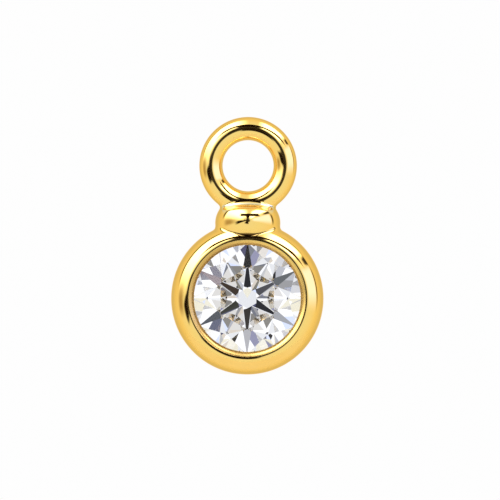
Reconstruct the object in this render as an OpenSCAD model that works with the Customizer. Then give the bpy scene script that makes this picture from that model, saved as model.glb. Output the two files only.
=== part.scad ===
// Earring charm drop: a round loop, a rounded collar bead and a bezel-set round stone.
// Millimetres, +Z up. The origin is the centre of the loop's hole, where the drop hangs,
// and the stone faces -Y.

/* [Loop] */
// Outside diameter of the round hanging loop
loop_od = 4.39; // [4.1:0.01:4.6]
// Thickness of the loop's round wire
loop_wire = 1.05; // [0.9:0.01:1.2]

/* [Collar] */
// Width of the oval bead between the loop and the bezel
collar_d = 2.98; // [2.7:0.02:3.1]
// Depth of the oval bead from front to back
collar_depth = 2.32; // [2.2:0.02:2.6]
// Radius of the oval's front and back, seen from above
collar_face_r = 1.7; // [1.5:0.05:2]
// Radius of the bead's bulging side, seen from the front
collar_bulge_r = 1.08; // [1:0.01:1.2]
// Radius of the bead's shallow domed top
collar_dome_r = 6; // [4:0.5:12]
// Distance from the loop's centre down to the bead's widest line
collar_drop = 2.57; // [2.4:0.01:2.7]
// Height of the bead's top above its widest line
collar_rise = 0.81; // [0.7:0.01:0.9]

/* [Bezel] */
// Distance from the loop's centre down to the stone's centre
stone_drop = 5.95; // [5.8:0.01:6.05]
// Outside diameter of the bezel
bezel_od = 6.84; // [6.7:0.02:7]
// Radius of the shoulder's front arc, next to the crest
front_r = 0.68; // [0.6:0.01:0.7]
// How far outside the side arc's centre the front arc's centre lies
arc_out = 0.2; // [0.16:0.01:0.24]
// How far in front of the side arc's centre the front arc's centre lies
arc_up = 0.21; // [0.16:0.01:0.24]
// Radius of the lip's roll from the crest in to the stone
lip_roll_r = 0.3; // [0.28:0.01:0.36]
// Depth of the bezel in front of the loop's middle plane
bezel_front = 1.04; // [1:0.01:1.2]
// Depth of the bezel behind the loop's middle plane
bezel_back = 1.8; // [1.7:0.01:1.9]
// Radius of the rounded rear edge
rear_r = 0.5; // [0.3:0.05:0.6]
// Diameter of the open hole in the back
rear_hole_d = 3.9; // [3.6:0.05:4.1]
// Bevel round the rear hole
rear_bevel = 0.15; // [0.05:0.01:0.25]
// How far the front lip covers the stone's edge
lip_cover = 0.11; // [0.08:0.01:0.15]

/* [Stone] */
// Diameter of the round brilliant-cut stone
stone_d = 5; // [4.9:0.05:5.1]
// Main facets round the stone, on the crown and on the pavilion
stone_mains = 6; // [6, 8]
// Width of the table across its corners, as a share of the diameter
table_share = 0.55; // [0.52:0.01:0.6]
// Angle of the crown's main facets
crown_angle = 34.5; // [33:0.5:36]
// Angle of the pavilion's main facets
pavilion_angle = 41; // [40:0.25:41.5]
// Thickness of the girdle, as a share of the diameter
girdle_share = 0.03; // [0.02:0.005:0.04]
// How far the star facets reach from the table to the edge
star_reach = 0.5; // [0.4:0.05:0.6]
// How far the lower girdle facets reach from the edge to the point
lower_reach = 0.84; // [0.7:0.01:0.86]
// How far the table stands in front of the bezel's crest
table_proud = 0.45; // [0.4:0.01:0.5]
// Running gap between the stone and its seat
stone_gap = 0.03; // [0.02:0.005:0.05]

/* [Hidden] */
$fn = 96;

// Loop
wire_r = loop_wire / 2;
loop_r = loop_od / 2 - wire_r;

// The bead goes this far below its widest line, into the bezel's wall
collar_foot = 0.6 * collar_bulge_r;

// Bezel, with its depths counted forward from the loop's middle plane
bezel_r = bezel_od / 2;
rear_hole_r = rear_hole_d / 2;

// The side arc runs smoothly on from the front arc and ends upright at the full diameter
side_r = front_r + norm([arc_out, arc_up]);
side_x = bezel_r - side_r;
side_z = bezel_front - front_r - arc_up;
crest_r = side_x + arc_out;

// Stone, worked out as a cutter does: mains first, then stars and halves
stone_r = stone_d / 2;
half_step = 180 / stone_mains;
table_r = table_share * stone_r;
table_edge = table_r * cos(half_step);
crown_h = (stone_r - table_r) * tan(crown_angle);
star_r = table_edge + star_reach * (stone_r - table_edge);
star_h = (stone_r - star_r * cos(half_step)) * tan(crown_angle);
star_angle = atan((crown_h - star_h) / (star_r - table_edge));
upper_angle = atan(star_h / ((stone_r - star_r) * cos(half_step / 2)));
pavilion_h = stone_r * tan(pavilion_angle);
lower_r = (1 - lower_reach) * stone_r;
lower_h = (stone_r - lower_r * cos(half_step)) * tan(pavilion_angle);
lower_angle = atan(lower_h / ((stone_r - lower_r) * cos(half_step / 2)));

// Where the stone sits in the bezel's depth
table_z = bezel_front + table_proud;
girdle_top = table_z - crown_h;
girdle_low = girdle_top - girdle_share * stone_d;

// The seat follows the stone's ridges, which stand out further than its mains
crown_ridge = star_h / (stone_r - star_r);
pavilion_ridge = lower_h / (stone_r - lower_r);
seat_r = stone_r + stone_gap;
lip_r = stone_r - lip_cover;
clear_cut = 1;

// Turns a part drawn flat, with its front up, to face -Y at the stone's place
module faced() {
    translate([0, 0, -stone_drop])
        rotate([90, 0, 0])
            children();
}

// Round wire bent into a closed loop
module loop() {
    rotate([90, 0, 0])
        rotate_extrude()
            translate([loop_r, 0])
                circle(wire_r);
}

// A round bead of the given radius with the collar's bulge, its foot and top cut level
module bulging(radius, foot, rise) {
    rotate_extrude()
        intersection() {
            translate([radius - collar_bulge_r, 0])
                circle(collar_bulge_r);
            translate([0, -foot])
                square([radius + clear_cut, foot + rise]);
        }
}

// Oval bead with a domed top: a round one with a flatter front and back, foot in the bezel
module collar() {
    face_y = collar_face_r - collar_depth / 2;
    translate([0, 0, -collar_drop])
        intersection() {
            bulging(collar_d / 2, collar_foot, collar_bulge_r);
            translate([0, face_y, 0])
                bulging(collar_face_r, collar_bulge_r, collar_bulge_r);
            translate([0, -face_y, 0])
                bulging(collar_face_r, collar_bulge_r, collar_bulge_r);
            translate([0, 0, collar_rise - collar_dome_r])
                sphere(collar_dome_r);
        }
}

// The shoulder's two arcs, each kept to its own part of the turn
module shoulder_outline() {
    reach = 10;
    intersection() {
        translate([crest_r, bezel_front - front_r])
            circle(front_r);
        translate([crest_r, bezel_front - 2 * front_r])
            square(2 * front_r);
    }
    translate([side_x, side_z])
        intersection() {
            circle(side_r);
            polygon([
                [0, -side_r / 2],
                [0, 0],
                [reach * arc_out, reach * arc_up],
                [reach, reach * arc_up],
                [reach, -side_r / 2],
            ]);
        }
}

// Outline of the bezel's wall from the axis out, before the seat is cut
module bezel_outline() {
    translate([0, -bezel_back])
        square([bezel_r - rear_r, bezel_back + side_z]);
    translate([0, -bezel_back + rear_r])
        square([bezel_r, bezel_back + side_z - rear_r]);
    translate([bezel_r - rear_r, -bezel_back + rear_r])
        circle(rear_r);
    translate([0, -bezel_back])
        square([crest_r, bezel_back + bezel_front - lip_roll_r]);
    translate([crest_r, bezel_front - lip_roll_r])
        circle(lip_roll_r);
    shoulder_outline();
}

// Everything that is cut from the bezel: the opening at the lip, the seat and the rear hole
module seat_outline() {
    polygon([
        [0, -bezel_back - clear_cut],
        [rear_hole_r + rear_bevel + clear_cut, -bezel_back - clear_cut],
        [rear_hole_r, -bezel_back + rear_bevel],
        [rear_hole_r, girdle_low - (seat_r - rear_hole_r) * pavilion_ridge],
        [seat_r, girdle_low - stone_gap],
        [seat_r, girdle_top + stone_gap],
        [lip_r, girdle_top + stone_gap + lip_cover * crown_ridge],
        [lip_r, bezel_front + clear_cut],
        [0, bezel_front + clear_cut],
    ]);
}

// Cuts one ring of facets: each takes off what lies beyond a plane tilted from the table
module facet_ring(count, first, reach, height, tilt) {
    long = 2 * stone_d;
    wide = 2.1 * stone_r * sin(180 / count);
    difference() {
        children();
        for (i = [0 : count - 1])
            rotate([0, 0, first + i * 360 / count])
                translate([reach, 0, height])
                    rotate([0, tilt, 0])
                        translate([-long / 2, -wide / 2, 0])
                            cube([long, wide, long / 2]);
    }
}

// The round blank that the facets are cut from, its flat top the table
module stone_blank() {
    translate([0, 0, girdle_low - pavilion_h])
        cylinder(r = stone_r, h = table_z - girdle_low + pavilion_h);
}

// The metal is one piece: the bead is soldered to the loop and to the bezel
module setting() {
    color([0.95, 0.74, 0.3])
        difference() {
            union() {
                loop();
                collar();
                faced() rotate_extrude() bezel_outline();
            }
            faced() rotate_extrude() seat_outline();
        }
}

// Round brilliant, cut in a cutter's order: both rings of mains, the stars, then the halves
module stone() {
    halves = 2 * stone_mains;
    half_reach = stone_r * cos(half_step / 2);
    color([0.88, 0.92, 0.97])
        faced()
            rotate([0, 0, 90])
                facet_ring(halves, half_step / 2, half_reach, girdle_low, 180 - lower_angle)
                facet_ring(halves, half_step / 2, half_reach, girdle_top, upper_angle)
                facet_ring(stone_mains, half_step, star_r, girdle_top + star_h, star_angle)
                facet_ring(stone_mains, 0, stone_r, girdle_low, 180 - pavilion_angle)
                facet_ring(stone_mains, 0, stone_r, girdle_top, crown_angle)
                stone_blank();
}

setting();
stone();
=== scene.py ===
import math

import bmesh
import bpy
import numpy as np
from mathutils import Matrix, Vector


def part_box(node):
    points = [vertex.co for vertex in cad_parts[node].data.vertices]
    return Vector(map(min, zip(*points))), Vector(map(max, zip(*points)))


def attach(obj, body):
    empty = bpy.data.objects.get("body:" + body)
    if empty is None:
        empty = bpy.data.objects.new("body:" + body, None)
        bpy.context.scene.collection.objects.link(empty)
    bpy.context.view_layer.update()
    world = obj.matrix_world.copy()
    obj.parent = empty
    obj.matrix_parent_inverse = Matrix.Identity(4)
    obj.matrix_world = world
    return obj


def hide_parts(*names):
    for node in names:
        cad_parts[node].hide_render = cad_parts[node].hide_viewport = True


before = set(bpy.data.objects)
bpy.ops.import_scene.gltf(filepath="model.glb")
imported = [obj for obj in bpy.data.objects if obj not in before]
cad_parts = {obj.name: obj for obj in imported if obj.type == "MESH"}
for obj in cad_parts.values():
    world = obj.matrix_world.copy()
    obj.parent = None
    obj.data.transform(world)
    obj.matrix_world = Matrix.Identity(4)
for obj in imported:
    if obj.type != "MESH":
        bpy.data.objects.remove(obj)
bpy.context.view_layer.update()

mm = 0.001
weldGap = 0.0005 * mm            # points nearer than this become one
fullTurn = 2 * math.pi
scene = bpy.context.scene

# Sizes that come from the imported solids
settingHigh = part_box("setting")[1]
stoneLow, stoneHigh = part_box("stone")
stoneCentre = Vector((0, 0, (stoneLow.z + stoneHigh.z) / 2))
tableDepth = -stoneLow.y


# Camera, square on to the stone's face as in the photograph

photo = {
    "distance": 250 * mm,        # from the camera to the drop
    "sensor": 36,                # its width, in the camera's own millimetres
    "side": 500,                 # pixels along the square frame
    "pixel": 0.0449 * mm,        # size of one pixel at the drop
    "across": 0.107 * mm,        # the frame's middle, from the loop's centre
    "up": -3.782 * mm,
    "roll": -0.34,               # degrees
}


def makeCamera():
    camera = bpy.data.objects.new("camera", bpy.data.cameras.new("camera"))
    scene.collection.objects.link(camera)
    camera.data.sensor_width = photo["sensor"]
    camera.data.lens = photo["sensor"] * photo["distance"] / (photo["side"] * photo["pixel"])
    camera.data.clip_start = 0.01
    camera.data.clip_end = 10
    camera.location = (photo["across"], -photo["distance"], photo["up"])
    camera.rotation_euler = (math.radians(90), math.radians(photo["roll"]), 0)
    scene.camera = camera


makeCamera()
print("camera: done")


# Small helpers for outlines drawn flat in X and Z and then spun

def lineTo(bm, vert, x, z):
    new = bm.verts.new((x, 0.0, z))
    bm.edges.new((vert, new))
    return new


# swings a vertex about a centre and leaves an arc of edges behind it
def arcTo(bm, vert, x, z, degrees, steps):
    made = bmesh.ops.spin(
        bm, geom=[vert], cent=(x, 0, z), axis=(0, 1, 0), dvec=(0, 0, 0),
        angle=math.radians(degrees), steps=steps, use_merge=False, use_duplicate=False,
    )
    return made["geom_last"][0]


def spinFull(bm, axis, steps):
    bmesh.ops.spin(
        bm, geom=bm.verts[:] + bm.edges[:], cent=(0, 0, 0), axis=axis, dvec=(0, 0, 0),
        angle=fullTurn, steps=steps, use_merge=True, use_duplicate=False,
    )
    bmesh.ops.remove_doubles(bm, verts=bm.verts[:], dist=weldGap)
    bmesh.ops.recalc_face_normals(bm, faces=bm.faces[:])


def objectFrom(bm, name):
    mesh = bpy.data.meshes.new(name)
    bm.to_mesh(mesh)
    bm.free()
    obj = bpy.data.objects.new(name, mesh)
    scene.collection.objects.link(obj)
    return obj


# Loop: round wire bent into a closed ring

loop = {
    "outside": settingHigh.z,
    "wire": 0.525 * mm,          # radius of the wire
    "flat": 2.3,                 # 2 is round wire, more is squarer
    "wireSteps": 72,
    "turnSteps": 288,
}
loop["bend"] = loop["outside"] - loop["wire"]


def makeLoop():
    bm = bmesh.new()
    bmesh.ops.create_circle(
        bm, cap_ends=False, segments=loop["wireSteps"], radius=loop["wire"],
        matrix=Matrix.Translation((loop["bend"], 0, 0)),
    )
    spinFull(bm, (0, 1, 0), loop["turnSteps"])
    return objectFrom(bm, "loop")


# Collar: an oval bulging bead with a shallow domed top

collar = {
    "wide": 1.465 * mm,          # half its width
    "deep": 1.16 * mm,           # half its depth, front to back
    "bulge": 1.08 * mm,          # radius of the bulging side
    "dome": 6.0 * mm,            # radius of the top
    "drop": 2.57 * mm,           # loop's centre down to the widest line
    "rise": 0.81 * mm,           # top above the widest line
    "foot": 0.648 * mm,          # buried end below the widest line
    "rim": 0.14 * mm,            # softening of the top's rim
    "lean": 0.07 / mm,           # how much deeper it grows with height
    "sideSteps": 44,
    "topSteps": 30,
    "turnSteps": 256,
}
collar["inner"] = collar["wide"] - collar["bulge"]
collar["flatten"] = collar["deep"] / collar["wide"]


def makeCollar():
    inner, bulge, dome, rise, foot = (collar[key] for key in ("inner", "bulge", "dome", "rise", "foot"))
    # the dome meets the bulge where both circles cross
    span = math.hypot(inner, dome - rise)
    along = (span ** 2 + dome ** 2 - bulge ** 2) / (2 * span)
    off = math.sqrt(dome ** 2 - along ** 2)
    edgeX = (inner * along + (dome - rise) * off) / span
    edgeZ = rise - dome + ((dome - rise) * along - inner * off) / span
    bm = bmesh.new()
    vert = lineTo(bm, bm.verts.new((0, 0, -foot)), inner + math.sqrt(bulge ** 2 - foot ** 2), -foot)
    turn = math.degrees(math.asin(foot / bulge) + math.atan2(edgeZ, edgeX - inner))
    vert = arcTo(bm, vert, inner, 0, -turn, collar["sideSteps"])
    arcTo(bm, vert, 0, rise - dome, -math.degrees(math.asin(edgeX / dome)), collar["topSteps"])
    spinFull(bm, (0, 0, 1), collar["turnSteps"])
    for vert in bm.verts:
        vert.co.y *= collar["flatten"] * (1 + collar["lean"] * vert.co.z)
    bmesh.ops.translate(bm, verts=bm.verts[:], vec=(0, 0, -collar["drop"]))
    return objectFrom(bm, "collar")


# Bezel: two arcs make the shoulder, a smaller one rolls the lip in over the stone

bezel = {
    "radius": settingHigh.x,
    "rear": -settingHigh.y,
    "crest": 1.04 * mm,          # foremost circle, in front of the loop's middle plane
    "front": 0.68 * mm,          # shoulder's arc next to the crest
    "out": 0.20 * mm,            # from the side arc's centre to the front arc's
    "up": 0.21 * mm,
    "lipRoll": 0.30 * mm,
    "lipRadius": stoneHigh.x - 0.11 * mm,
    "land": 0.039 * mm,          # height of the lip's inner edge
    "crown": 0.773 * mm,         # stone's table down to its girdle
    "girdle": 0.15 * mm,
    "gap": 0.03 * mm,
    "seatSlope": 0.9,            # the seat's drop towards the rear hole, for each step inwards
    "rearRound": 0.5 * mm,
    "rearHole": 1.95 * mm,
    "holeBevel": 0.15 * mm,
    "lipBevel": 0.016 * mm,
    "bevelSteps": 5,
    "arcSteps": 24,
    "lipSteps": 16,
    "turnSteps": 360,
}
bezel["side"] = bezel["front"] + math.hypot(bezel["out"], bezel["up"])
bezel["sideX"] = bezel["radius"] - bezel["side"]
bezel["sideZ"] = bezel["crest"] - bezel["front"] - bezel["up"]
bezel["crestX"] = bezel["sideX"] + bezel["out"]


# drawn with its front up, then turned to face the camera
def makeBezel():
    rear, crest, radius, crestX = (bezel[key] for key in ("rear", "crest", "radius", "crestX"))
    rearRound, rearHole, roll = (bezel[key] for key in ("rearRound", "rearHole", "lipRoll"))
    steps = bezel["arcSteps"]
    turn = math.degrees(math.atan2(bezel["out"], bezel["up"]))
    lipTurn = math.degrees(math.asin((crestX - bezel["lipRadius"]) / roll))
    seatX = stoneHigh.x + bezel["gap"]
    girdleTop = tableDepth - bezel["crown"]
    girdleLow = girdleTop - bezel["girdle"]
    bm = bmesh.new()
    start = bm.verts.new((rearHole, 0, rear))
    vert = lineTo(bm, start, radius - rearRound, rear)
    vert = arcTo(bm, vert, radius - rearRound, rear + rearRound, -90, steps)
    vert = lineTo(bm, vert, radius, bezel["sideZ"])
    vert = arcTo(bm, vert, bezel["sideX"], bezel["sideZ"], turn - 90, steps)
    vert = arcTo(bm, vert, crestX, crest - bezel["front"], -turn, steps)
    lip = arcTo(bm, vert, crestX, crest - roll, -lipTurn, bezel["lipSteps"])
    under = lineTo(bm, lip, bezel["lipRadius"], lip.co.z - bezel["land"])
    vert = lineTo(bm, under, seatX, girdleTop + bezel["gap"])
    vert = lineTo(bm, vert, seatX, girdleLow - bezel["gap"])
    vert = lineTo(bm, vert, rearHole, girdleLow - (seatX - rearHole) * bezel["seatSlope"])
    bm.edges.new((vert, start))
    for corner, size in ((start, bezel["holeBevel"]), (lip, bezel["lipBevel"])):
        bmesh.ops.bevel(
            bm, geom=[corner], offset=size, offset_type="OFFSET", segments=bezel["bevelSteps"],
            profile=0.5, affect="VERTICES", material=-1,
        )
    spinFull(bm, (0, 0, 1), bezel["turnSteps"])
    place = Matrix.Translation(stoneCentre) @ Matrix.Rotation(math.radians(90), 4, "X")
    bmesh.ops.transform(bm, matrix=place, verts=bm.verts[:])
    return objectFrom(bm, "bezel")


def unite(target, others, name):
    for other in others:
        joint = target.modifiers.new("unite", "BOOLEAN")
        joint.operation = "UNION"
        joint.solver = "EXACT"
        joint.object = other
    bpy.context.view_layer.update()
    evaluated = target.evaluated_get(bpy.context.evaluated_depsgraph_get())
    mesh = bpy.data.meshes.new_from_object(evaluated)
    mesh.name = name
    for old in [target] + others:
        bpy.data.objects.remove(old)
    obj = bpy.data.objects.new(name, mesh)
    scene.collection.objects.link(obj)
    return obj


# Solder: where two forms meet, their surfaces run into each other in a small fillet

solder = {
    "loopToCollar": 0.26 * mm,
    "collarToBezel": 0.07 * mm,
    "atEnds": 0.12 * mm,         # added to that at the bead's two ends
    "ends": (0.9 * mm, 1.3 * mm),    # how far aside it starts and is full
    "weld": 0.002 * mm,
    "edge": 0.03 * mm,           # longest edge left in a fillet
    "halvings": 2,
    "loopZone": 1.4,             # the mesh is finer within this many fillets of a join
    "bezelZone": 2.2,
    "zoneReach": 0.4 * mm,       # and no further than this from the bead
    "lowest": -3.6 * mm,         # no point below this moves,
    "crestClear": 0.01 * mm,     # nor one on the lip, inside the crest and this much more,
    "rearmost": 1.28 * mm,       # nor one behind this
    "stride": 0.08 * mm,         # longest move in one step
    "strides": 5,
    "seam": 0.05 * mm,           # half width of the painted shade line along the crease between bead and bezel
    "creaseShadeFill": 1.8,             # more darkens more of that width
    "pool": 0.35 * mm,           # the line is wider this far to each side of the middle,
    "thin": 0.6,                 # and past that it keeps this share of its width
    "creaseShadeEnds": (1.05 * mm, 0.80 * mm),    # how far aside it has faded out and is full
    "paleHighlightEnds": (1.18 * mm, 1.08 * mm),    # the same for the painted highlight on the fillet under the loop
    "tintReach": 0.12 * mm,      # neither colour goes further than this from the bead
    "sharp": 40,                 # edges that turn by more degrees stay sharp
}


def fromLoop(x, y, z):
    across = np.abs(np.hypot(x, z) - loop["bend"])
    return (across ** loop["flat"] + np.abs(y) ** loop["flat"]) ** (1 / loop["flat"]) - loop["wire"]


def fromCollar(x, y, z):
    height = z + collar["drop"]
    y = y / (1 + collar["lean"] * height)
    away = np.hypot(x, y / collar["flatten"])
    side = np.hypot(away - collar["inner"], height) - collar["bulge"]
    top = np.hypot(away, height - collar["rise"] + collar["dome"]) - collar["dome"]
    # the flattened sides are nearer than their round stand-in says
    lean = np.hypot(x, y / collar["flatten"] ** 2) / np.maximum(away, 0.01 * mm)
    return -softest(-side / lean, -top, collar["rim"])


def fromBezel(x, y, z):
    away = np.hypot(x, z - stoneCentre.z)
    ahead = -y
    front = np.hypot(away - bezel["crestX"], ahead - bezel["crest"] + bezel["front"]) - bezel["front"]
    side = np.hypot(away - bezel["sideX"], ahead - bezel["sideZ"]) - bezel["side"]
    onSide = (away - bezel["sideX"]) * bezel["up"] > (ahead - bezel["sideZ"]) * bezel["out"]
    return np.where(ahead < bezel["sideZ"], away - bezel["radius"], np.where(onSide, side, front))


# the lesser of two distances, rounded over where they are nearly equal
def softest(a, b, reach):
    share = np.clip(0.5 + 0.5 * (b - a) / reach, 0, 1)
    return b + (a - b) * share - reach * share * (1 - share)


# 0 at low to 1 at high, straight in between
def rising(value, low, high):
    return np.clip((value - low) / (high - low), 0, 1)


# the fillet on the bezel is larger at the bead's ends than in front of it
def bezelFillet(x):
    return solder["collarToBezel"] + solder["atEnds"] * rising(np.abs(x), *solder["ends"])


def fromMetal(x, y, z):
    top = softest(fromLoop(x, y, z), fromCollar(x, y, z), solder["loopToCollar"])
    return softest(top, fromBezel(x, y, z), bezelFillet(x))


# how a distance changes along each axis
def slopeOf(distance, x, y, z):
    step = 0.0001 * mm
    return np.stack([
        distance(x + step, y, z) - distance(x - step, y, z),
        distance(x, y + step, z) - distance(x, y - step, z),
        distance(x, y, z + step) - distance(x, y, z - step),
    ]) / (2 * step)


def nearJoin(co):
    x, y, z = co.T
    toCollar = fromCollar(x, y, z)
    nearLoop = np.abs(fromLoop(x, y, z) - toCollar) < solder["loopZone"] * solder["loopToCollar"]
    nearBezel = np.abs(fromBezel(x, y, z) - toCollar) < solder["bezelZone"] * bezelFillet(x)
    return (nearLoop | nearBezel) & (toCollar < solder["zoneReach"])


# the union's points come in a new order each run, so they are put in order of place
def sortByPlace(bm):
    keys = (
        (bm.verts, lambda vert: vert.co[:]),
        (bm.edges, lambda edge: sorted(vert.index for vert in edge.verts)),
        (bm.faces, lambda face: sorted(vert.index for vert in face.verts)),
    )
    for parts, key in keys:
        for rank, part in enumerate(sorted(parts, key=key)):
            part.index = rank
        parts.sort()


# faces with more than four corners become triangles
def cutLargeFaces(bm):
    bmesh.ops.triangulate(bm, faces=[face for face in bm.faces if len(face.verts) > 4])


def refineJoins(obj):
    bm = bmesh.new()
    bm.from_mesh(obj.data)
    sortByPlace(bm)
    cutLargeFaces(bm)
    bmesh.ops.remove_doubles(bm, verts=bm.verts[:], dist=solder["weld"])
    for halving in range(solder["halvings"]):
        bm.verts.index_update()
        near = nearJoin(np.array([vert.co[:] for vert in bm.verts], dtype=float))
        longEdges = [
            edge for edge in bm.edges
            if near[edge.verts[0].index] and near[edge.verts[1].index]
            and edge.calc_length() > solder["edge"]
        ]
        bmesh.ops.subdivide_edges(bm, edges=longEdges, cuts=1, use_grid_fill=True)
        cutLargeFaces(bm)
    bm.normal_update()
    bm.to_mesh(obj.data)
    openEdges = sum(1 for edge in bm.edges if len(edge.link_faces) != 2)
    print("joins refined:", len(bm.verts), "points,", openEdges, "open edges")
    bm.free()


# points move along the slope until they lie on the rounded surface
def pulledOn(x, y, z):
    longest = solder["stride"]
    for stride in range(solder["strides"]):
        slope = slopeOf(fromMetal, x, y, z)
        push = np.clip(fromMetal(x, y, z), -longest, longest) / (slope ** 2).sum(0)
        x, y, z = np.array([x, y, z]) - slope * push
    return x, y, z


# levels for the gold's painted colours: painted shade along the crease under the bead, and a painted
# highlight, paler than the gold, on the fillet above it
def markJoins(mesh, spots, x, y, z):
    toCollar = fromCollar(x, y, z)
    aside = np.abs(x)
    wide = solder["seam"] * (solder["thin"] + np.exp(-(x / solder["pool"]) ** 2))
    seam = (1 - np.abs(toCollar - fromBezel(x, y, z)) / wide) * solder["creaseShadeFill"]
    pale = 1 - np.abs(toCollar - fromLoop(x, y, z)) / (2 * solder["loopToCollar"])
    masks = {
        "seam": seam * rising(aside, *solder["creaseShadeEnds"]),
        "pale": pale * rising(aside, *solder["paleHighlightEnds"]),
    }
    for name, mask in masks.items():
        level = np.zeros(len(mesh.vertices))
        level[spots] = np.clip(mask, 0, 1) * (toCollar < solder["tintReach"])
        mesh.attributes.new(name, "FLOAT", "POINT").data.foreach_set("value", level)


# smooth shading that follows the rounded surface, with the sharp edges left sharp
def shadeJoins(mesh, spots, slope):
    normals = np.zeros((len(mesh.vertices), 3))
    normals[spots] = (slope / np.linalg.norm(slope, axis=0)).T
    for poly in mesh.polygons:
        poly.use_smooth = True
    mesh.set_sharp_from_angle(angle=math.radians(solder["sharp"]))
    mesh.normals_split_custom_set_from_vertices(normals.tolist())


def flowSolder(obj):
    mesh = obj.data
    co = np.empty(len(mesh.vertices) * 3)
    mesh.vertices.foreach_get("co", co)
    co = co.reshape(-1, 3)
    x, y, z = co.T
    offLip = np.hypot(x, z - stoneCentre.z) > bezel["crestX"] + solder["crestClear"]
    spots = np.nonzero(offLip & (z > solder["lowest"]) & (y < solder["rearmost"]))[0]
    before = co[spots]
    x, y, z = pulledOn(*before.T)
    co[spots] = np.stack([x, y, z], 1)
    moved = np.linalg.norm(co[spots] - before, axis=1)
    print("solder: largest move", round(moved.max() / mm, 3), "mm over", len(spots), "points")
    mesh.vertices.foreach_set("co", co.ravel())
    mesh.update()
    markJoins(mesh, spots, x, y, z)
    shadeJoins(mesh, spots, slopeOf(fromMetal, x, y, z))


metal = unite(makeBezel(), [makeCollar(), makeLoop()], "gold_setting")
print("setting: united,", len(metal.data.vertices), "points")
refineJoins(metal)
flowSolder(metal)
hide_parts("setting")
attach(metal, "root")


# Shader maths: a socket that Python's operators work on

class Value:
    def __init__(self, tree, socket):
        self.tree = tree
        self.socket = socket

    def node(self, kind, settings=None, inputs=None, out=0):
        return addNode(self.tree, kind, settings, inputs, out)

    def maths(self, operation, *others):
        return self.node("ShaderNodeMath", {"operation": operation}, dict(enumerate((self,) + others)))

    def __add__(self, other):
        return self.maths("ADD", other)

    def __mul__(self, other):
        return self.maths("MULTIPLY", other)

    __radd__ = __add__
    __rmul__ = __mul__

    def __sub__(self, other):
        return self.maths("SUBTRACT", other)

    def __rsub__(self, other):
        return self.node("ShaderNodeMath", {"operation": "SUBTRACT"}, {0: other, 1: self})

    def __truediv__(self, other):
        return self.maths("DIVIDE", other)

    # 0 at low to 1 at high, eased at both ends
    def ease(self, low, high):
        return self.node("ShaderNodeMapRange", {"interpolation_type": "SMOOTHSTEP"},
                         {"Value": self, "From Min": low, "From Max": high})

    # 0 up to a, 1 from b to c, 0 again from d on
    def within(self, a, b, c, d):
        return self.ease(a, b) * self.ease(d, c)

    # one colour or level over another where this mask is 1
    def over(self, below, above):
        return self.node("ShaderNodeMix", {"data_type": "RGBA"}, {0: self, 6: below, 7: above}, out=2)


def setStops(ramp, stops):
    for stop in stops[1:-1]:
        ramp.elements.new(stop[0])
    for element, (place, colour) in zip(ramp.elements, stops):
        element.position = place
        element.color = (*colour, 1)


def addNode(tree, kind, settings=None, inputs=None, out=0):
    node = tree.nodes.new(kind)
    for name, value in (settings or {}).items():
        if name == "stops":
            setStops(node.color_ramp, value)
        elif name == "stepped":
            node.color_ramp.interpolation = "CONSTANT"
        else:
            setattr(node, name, value)
    for name, value in (inputs or {}).items():
        if isinstance(value, Value):
            tree.links.new(value.socket, node.inputs[name])
        elif isinstance(value, tuple) and len(value) == 3 and node.inputs[name].type == "RGBA":
            node.inputs[name].default_value = (*value, 1)
        else:
            node.inputs[name].default_value = value
    return Value(tree, node.outputs[out])


def axesOf(tree, place):
    parts = addNode(tree, "ShaderNodeSeparateXYZ", inputs={0: place})
    return [Value(tree, socket) for socket in parts.socket.node.outputs]


def noiseOf(tree, place, scale, detail):
    return addNode(tree, "ShaderNodeTexNoise", {"noise_dimensions": "3D"},
                   {"Vector": place, "Scale": scale, "Detail": detail})


def newMaterial(name):
    mat = bpy.data.materials.new(name)
    mat.use_nodes = True
    return mat, mat.node_tree, mat.node_tree.nodes["Principled BSDF"]


# Gold: mirror polish with the faint waviness of handwork, left as cast inside the seat

gold = {
    "colour": (1.0, 0.685, 0.235),
    "deeper": (0.98, 0.645, 0.20),
    "edge": (1.0, 0.80, 0.5),        # where the surface turns away from the eye
    "asCast": (1.0, 0.95, 0.86),     # matt and pale inside the seat
    "hole": (1.0, 0.78, 0.36),       # and a deeper gold down the rear hole
    "lip": (0.62, 0.38, 0.12),       # painted shade on the lip, darker to the left
    # painted shade along the crease between bead and bezel
    "seam": (0.10, 0.045, 0.012),
    "solder": (0.88, 0.80, 0.60),    # painted highlight on the fillet under the loop, paler than the gold
    # the noise, or the level of a mask, at which a colour starts and is full
    "deeperFrom": (0.35, 0.75),
    "paleHighlightFrom": (0.0, 0.4),
    "neckShadeFrom": (0.93, 0.98),      # the faint painted shade line along the crease in the middle of that fillet
    "deeperShare": 0.5,
    "neckShadeShare": 0.5,
    "lipShare": (0.3, 0.9),          # strength of the lip's painted shade at the right and at the left
    "rough": 0.025,                  # the least there is, before the noise adds to it
    "castRough": 0.4,
    "lipRough": 0.22,                # burnished with a tool, less smooth than the rest
    # places in mm: across from the middle, out from the stone's axis, or back from the loop's plane
    "seatOut": (2.60, 2.55),
    "seatBack": (-0.86, -0.82, 1.1, 1.6),
    "holeBack": (-0.05, 0.5),
    "lipOut": (2.36, 2.42, 2.59, 2.65),
    "lipBack": (-0.82, -0.86),
    # where the lip's painted shade is least and most
    "lipShadeAcross": (1.0, -1.6),
    # noise: scale, detail
    "cloud": (700.0, 2.0),
    "wave": (1400.0, 1.0),
    "grain": (30000.0, 3.0),
    "cloudRough": 0.03,
    "grainRough": 0.02,
    "waveDepth": 0.0012 * mm,
    "grainDepth": 0.03,              # as a share of that
}


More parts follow.
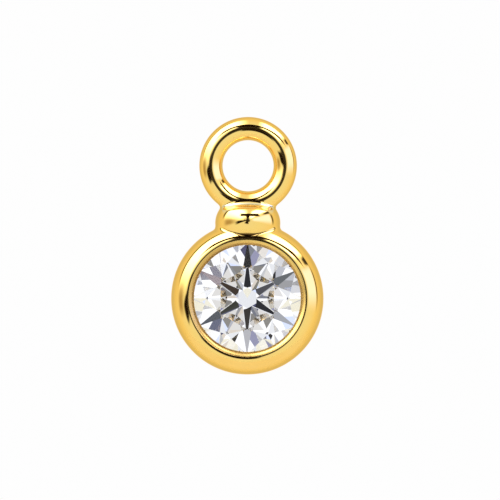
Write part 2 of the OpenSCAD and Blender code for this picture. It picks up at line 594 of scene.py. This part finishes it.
def goldMaterial():
    mat, tree, shader = newMaterial("polishedGold")
    place = addNode(tree, "ShaderNodeTexCoord", out=3)
    x, y, z = axesOf(tree, place)
    back = y / mm
    drop = z - stoneCentre.z
    out = (x * x + drop * drop).maths("SQRT") / mm
    seat = out.ease(*gold["seatOut"]) * back.within(*gold["seatBack"])
    lip = out.within(*gold["lipOut"]) * back.ease(*gold["lipBack"])
    # levels of the painted crease shade and the painted highlight, kept on the mesh
    seam = addNode(tree, "ShaderNodeAttribute", {"attribute_name": "seam"}, out=2)
    pale = addNode(tree, "ShaderNodeAttribute", {"attribute_name": "pale"}, out=2)
    cloud, wave, grain = (noiseOf(tree, place, *gold[name]) for name in ("cloud", "wave", "grain"))
    clouded = cloud.ease(*gold["deeperFrom"]) * gold["deeperShare"]
    colour = clouded.over(gold["colour"], gold["deeper"])
    colour = seat.over(colour, back.ease(*gold["holeBack"]).over(gold["asCast"], gold["hole"]))
    least, most = gold["lipShare"]
    # painted shade on the lip, stronger to the left
    lipShade = (x / mm).ease(*gold["lipShadeAcross"]) * (most - least) + least
    colour = (lip * lipShade).over(colour, gold["lip"])
    # painted highlight, paler than the gold, on the fillet under the loop
    colour = pale.ease(*gold["paleHighlightFrom"]).over(colour, gold["solder"])
    # a faint painted shade line along the crease through that highlight
    line = pale.ease(*gold["neckShadeFrom"]) * gold["neckShadeShare"]
    # painted shade along the crease under the bead, together with the painted shade line above
    colour = seam.maths("MAXIMUM", line).over(colour, gold["seam"])
    rough = cloud * gold["cloudRough"] + grain * gold["grainRough"] + gold["rough"]
    rough = rough + seat * gold["castRough"] + lip * gold["lipRough"]
    metallic = 1 - seat
    height = wave + grain * gold["grainDepth"]
    bump = addNode(tree, "ShaderNodeBump", None,
                   {"Height": height, "Strength": 1.0, "Distance": gold["waveDepth"]})
    tree.links.new(colour.socket, shader.inputs["Base Color"])
    tree.links.new(rough.socket, shader.inputs["Roughness"])
    tree.links.new(bump.socket, shader.inputs["Normal"])
    tree.links.new(metallic.socket, shader.inputs["Metallic"])
    shader.inputs["Specular Tint"].default_value = (*gold["edge"], 1)
    return mat


# Stone: crisp facets that pass light straight through or mirror it fully inside

crystal = {
    "index": 2.42,
    "tint": (0.975, 0.98, 1.0),
    "gloss": 0.15,               # share of the outer mirror reflection kept
    "mirrorFrom": 0.9,           # the outer reflection from which a facet mirrors fully
    "backFrom": -0.56,           # depth in mm behind which the back facets lie
    "backLeak": 0.5,             # share of light that they let out where they don't mirror
}


def stoneMaterial():
    mat, tree, shader = newMaterial("clearStone")
    out = tree.nodes["Material Output"]
    tree.nodes.remove(shader)
    shine = addNode(tree, "ShaderNodeFresnel", inputs={"IOR": crystal["index"]})
    inside = addNode(tree, "ShaderNodeNewGeometry", out=6)
    place = addNode(tree, "ShaderNodeTexCoord", out=3)
    depth = axesOf(tree, place)[1] / mm
    back = depth.maths("GREATER_THAN", crystal["backFrom"]) * (1 - crystal["backLeak"])
    full = shine.maths("GREATER_THAN", crystal["mirrorFrom"]).maths("MAXIMUM", back)
    share = inside * full + (1 - inside) * shine * crystal["gloss"]
    through = addNode(tree, "ShaderNodeBsdfRefraction", None,
                      {"Color": crystal["tint"], "Roughness": 0.0, "IOR": crystal["index"]})
    mirror = addNode(tree, "ShaderNodeBsdfGlossy", None, {"Color": (1.0, 1.0, 1.0), "Roughness": 0.0})
    mixed = addNode(tree, "ShaderNodeMixShader", None, {0: share, 1: through, 2: mirror})
    tree.links.new(mixed.socket, out.inputs["Surface"])
    return mat


metal.data.materials.clear()
metal.data.materials.append(goldMaterial())
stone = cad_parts["stone"]
for slot in stone.material_slots:
    slot.material = stoneMaterial()
print("materials: done")


# Studio: a white room. "clock" runs round the camera's axis from the top, "off" is the angle
# from that axis, and "turn" and "rise" are a direction's compass turn and its height, all in
# degrees. The gold sees soft panels and the dark middle, the stone a finer pattern of cards.
# Four angles say where a light or card starts, is full, is full until, and has ended.

tones = [
    # share of the way round from the camera to behind the drop, colour of the plain room
    (0.0, (0.90, 0.98, 0.95)), (0.2, (0.94, 0.98, 0.80)), (0.32, (0.95, 0.94, 0.76)),
    (0.45, (0.96, 0.89, 0.58)), (0.58, (0.90, 0.80, 0.48)), (0.71, (0.75, 0.71, 0.51)),
    (0.8, (0.69, 0.72, 0.66)), (0.87, (0.88, 0.86, 0.78)), (1.0, (0.96, 0.95, 0.90)),
]

panels = [
    # clock, off, colour
    ((-90, -48, -20, 2), (10, 26, 76, 86), (4.4, 4.4, 4.4)),
    ((12, 24, 46, 54), (9, 20, 74, 86), (4.6, 4.6, 4.6)),
    ((59, 67, 82, 104), (9, 20, 74, 86), (1.25, 1.42, 2.4)),
    ((52, 54, 60, 62), (12, 22, 60, 84), (1.3, 1.25, 1.1)),
    ((-110, -97, -93, -70), (28, 56, 64, 88), (0.50, 0.40, 0.22)),
]

darkCards = [
    # clock, off, strength
    ((-96, -88, -72, -62), (-1, 0, 9, 13), 0.9),
    ((-30, -26, 26, 32), (-1, 0, 8, 11), 0.9),
    ((-20, -12, 14, 22), (7, 9, 20, 23), 1.0),
    ((-84, -66, -32, -10), (82, 85, 89, 95), 0.85),
    ((22, 34, 44, 56), (82, 85, 89, 95), 0.45),
    ((58, 72, 84, 104), (82, 85, 89, 95), 0.85),
]

uprightCards = [
    # turn, rise, strength
    ((-28, -20, 32, 42), (17, 19, 29, 31), 1.0),
]

leaningCards = [
    # clock at the axis, lean, half width at the axis, its growth, softness, off, strength
    (-94, -0.33, 14.0, -0.13, 3.0, (3, 8, 28, 42), 1.0),
    (57, 0.0, 0.5, 0.045, 1.5, (46, 68, 84, 90), 0.95),
]

stoneCards = {
    "scale": 14.0,               # of the patchwork, more makes its cells smaller
    "shift": (1.6, 8.7, 1.8),    # moves it on to other cells
    "shades": [
        (0.0, (0.03, 0.03, 0.035)), (0.10, (0.22, 0.23, 0.26)), (0.2, (0.32, 0.32, 0.46)),
        (0.26, (0.55, 0.56, 0.6)), (0.36, (0.78, 0.7, 0.6)), (0.42, (0.78, 0.86, 1.1)),
        (0.5, (1.15, 1.15, 1.15)),
    ],
    "soft": 1,                   # half width of the edges of the rings and spokes
    "rings": [
        # off from, to, colour, strength
        (0, 10, (0.80, 0.78, 0.74), 1.0),
        (33, 46, (0.87, 0.88, 0.89), 1.0),
        (47, 61, (0.95, 0.95, 0.94), 0.45),
    ],
    "spokes": [
        # clock, half width, off from, to, colour: beside the middle
        (12, 30, 5, 10, (0.27, 0.26, 0.24)),
        (112, 10, 5, 10, (0.27, 0.26, 0.24)),
        (157, 10, 5, 10, (0.27, 0.26, 0.24)),
        (-113, 10, 5, 10, (0.27, 0.26, 0.24)),
        # the six arrows, each a head and then its shaft
        (1, 9, 10, 14, (0.015, 0.015, 0.02)),
        (3, 5, 14, 19, (0.03, 0.03, 0.035)),
        (57, 9, 10, 14, (0.14, 0.15, 0.16)),
        (60, 5.5, 14, 19, (0.09, 0.09, 0.10)),
        (122, 7, 10, 14, (0.40, 0.41, 0.44)),
        (118, 5.5, 14, 19, (0.03, 0.03, 0.035)),
        (180, 6, 10, 14, (0.50, 0.50, 0.52)),
        (177, 4.5, 14, 19, (0.05, 0.045, 0.04)),
        (-117, 7, 10, 14, (0.09, 0.10, 0.12)),
        (-118, 4.5, 14, 19, (0.05, 0.052, 0.042)),
        (-60, 8, 10, 14, (0.30, 0.24, 0.26)),
        (-61, 5.5, 14, 19, (0.06, 0.045, 0.035)),
        # further out
        (-36, 12, 22, 32, (0.08, 0.08, 0.16)),
        (5, 12, 28, 35, (0.36, 0.36, 0.37)),
        (-70, 7, 27, 35, (0.14, 0.15, 0.22)),
        (-108, 7, 28, 35, (0.20, 0.19, 0.24)),
    ],
}

room = {
    "dark": (0.012, 0.006, 0.003),
    "white": 0.99,               # what the camera and the floor see
    "lens": (8.0, 5.0),          # off at which the dark round the camera has ended and is full
    "lensStrength": 0.95,
    "lowCard": (-162, (34, 26), (15, 11)),    # clock, then half width and off, ended and full
}


def fromClock(clock, middle):
    return (clock - middle).maths("WRAP", 180.0, -180.0).maths("ABSOLUTE")


# the plain room with its panels, and the dark cards and the dark round the camera
def goldSees(off, clock, turn, rise):
    light = off.node("ShaderNodeValToRGB", {"stops": tones}, {0: off / 180})
    for clocks, offs, colour in panels:
        light = (clock.within(*clocks) * off.within(*offs)).over(light, colour)
    dark = []
    for clocks, offs, strength in darkCards:
        dark.append(clock.within(*clocks) * off.within(*offs) * strength)
    for turns, rises, strength in uprightCards:
        dark.append(turn.within(*turns) * rise.within(*rises) * strength)
    for middle, lean, half, growth, soft, offs, strength in leaningCards:
        edge = (clock - middle - off * lean).maths("ABSOLUTE") - off * growth
        dark.append(edge.ease(half + soft, half - soft) * off.within(*offs) * strength)
    dark.append(off.ease(*room["lens"]) * room["lensStrength"])
    middle, half, offs = room["lowCard"]
    dark.append(fromClock(clock, middle).ease(*half) * off.ease(*offs))
    for mask in dark:
        light = mask.over(light, room["dark"])
    return light


# a patchwork of grey cells with rings and spokes laid over it
def stoneSees(toward, off, clock):
    shifted = toward.node("ShaderNodeVectorMath", {"operation": "ADD"},
                          {0: toward, 1: stoneCards["shift"]})
    cells = toward.node("ShaderNodeTexVoronoi", None,
                        {"Vector": shifted, "Scale": stoneCards["scale"]}, out=1)
    pick = cells.node("ShaderNodeSeparateColor", None, {0: cells})
    shade = pick.node("ShaderNodeValToRGB", {"stepped": True, "stops": stoneCards["shades"]}, {0: pick})
    soft = stoneCards["soft"]

    def ring(start, end):
        return off.within(start - soft, start + soft, end - soft, end + soft)

    for start, end, colour, strength in stoneCards["rings"]:
        shade = (ring(start, end) * strength).over(shade, colour)
    for middle, half, start, end, colour in stoneCards["spokes"]:
        spoke = fromClock(clock, middle).ease(half + soft, half - soft)
        shade = (spoke * ring(start, end)).over(shade, colour)
    return shade


def makeStudio():
    world = bpy.data.worlds.new("studio")
    scene.world = world
    world.use_nodes = True
    tree = world.node_tree
    toward = addNode(tree, "ShaderNodeTexCoord", out=0)
    x, y, z = axesOf(tree, toward)
    degrees = 180 / math.pi
    off = (y * -1).maths("ARCCOSINE") * degrees
    clock = x.maths("ARCTAN2", z) * degrees
    turn = x.maths("ARCTAN2", y * -1) * degrees
    rise = z.maths("ARCSINE") * degrees
    mirrored = addNode(tree, "ShaderNodeLightPath", out=3)
    refracted = addNode(tree, "ShaderNodeLightPath", out=6)
    outside = mirrored.over((room["white"],) * 3, goldSees(off, clock, turn, rise))
    seen = refracted.over(outside, stoneSees(toward, off, clock))
    background = tree.nodes["Background"]
    tree.links.new(seen.socket, background.inputs["Color"])
    background.inputs["Strength"].default_value = 1.0


makeStudio()


# Floor: a plain pale table below the drop, ending softly behind it

table = {
    "radius": 32 * mm,
    "steps": 128,
    "below": -22 * mm,
    "colour": (0.97, 0.925, 0.74),
    "back": (8, -4),             # mm behind the loop's plane at which it has faded out and is full
    "rim": (38, 26),             # the same, in mm from the loop's centre
}


def makeFloor():
    mat, tree, shader = newMaterial("paleTable")
    place = addNode(tree, "ShaderNodeTexCoord", out=3)
    y = axesOf(tree, place)[1] / mm
    fromMiddle = place.node("ShaderNodeVectorMath", {"operation": "LENGTH"}, {0: place}, out=1) / mm
    alpha = y.ease(*table["back"]) * fromMiddle.ease(*table["rim"])
    tree.links.new(alpha.socket, shader.inputs["Alpha"])
    shader.inputs["Base Color"].default_value = (*table["colour"], 1)
    shader.inputs["Roughness"].default_value = 1.0
    shader.inputs["Specular IOR Level"].default_value = 0.0
    bm = bmesh.new()
    bmesh.ops.create_circle(
        bm, cap_ends=True, segments=table["steps"], radius=table["radius"],
        matrix=Matrix.Translation((0, 0, table["below"])),
    )
    floor = objectFrom(bm, "floor")
    floor.data.materials.append(mat)


makeFloor()
scene.view_settings.view_transform = "Standard"
# light turns back many times inside the stone
scene.cycles.max_bounces = 24
scene.cycles.glossy_bounces = 20
scene.cycles.transmission_bounces = 24
print("studio: done")
